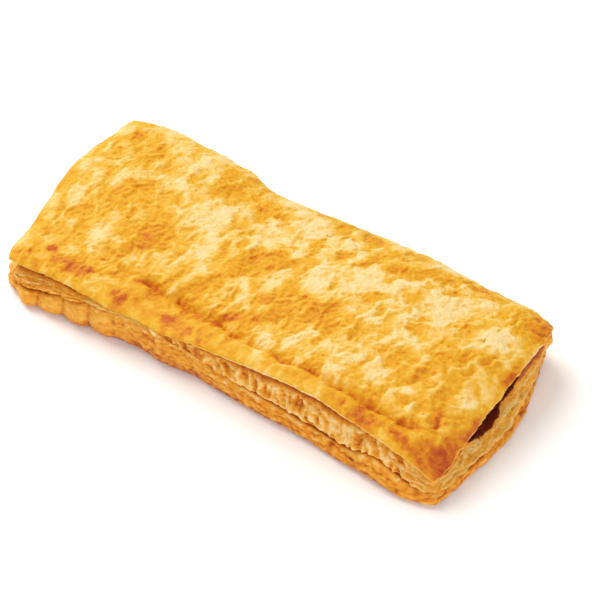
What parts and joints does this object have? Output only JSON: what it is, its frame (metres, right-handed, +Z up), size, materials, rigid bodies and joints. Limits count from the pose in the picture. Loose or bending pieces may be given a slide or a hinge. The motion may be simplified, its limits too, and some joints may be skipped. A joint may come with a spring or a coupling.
{
  "type": "sausage roll",
  "caption": "Flat sausage roll: blistered puff pastry folded round a strip of sausage meat, sealed along the front and cut open at both ends.",
  "frame": {"origin": "middle of the bounding box, on the plane that the flat underside rests on", "axes": "+X along the roll towards the cut end whose gap is open, +Z up from the underside, -Y towards the sealed long edge and +Y towards the fold"},
  "size_m": [0.1552, 0.0716, 0.0255],
  "materials": {
    "baked_pastry": null,
    "cooked_sausage_meat": null
  },
  "bodies": {
    "root": {"pastry": "baked_pastry", "sausage_meat": "cooked_sausage_meat"}
  },
  "joints": []
}
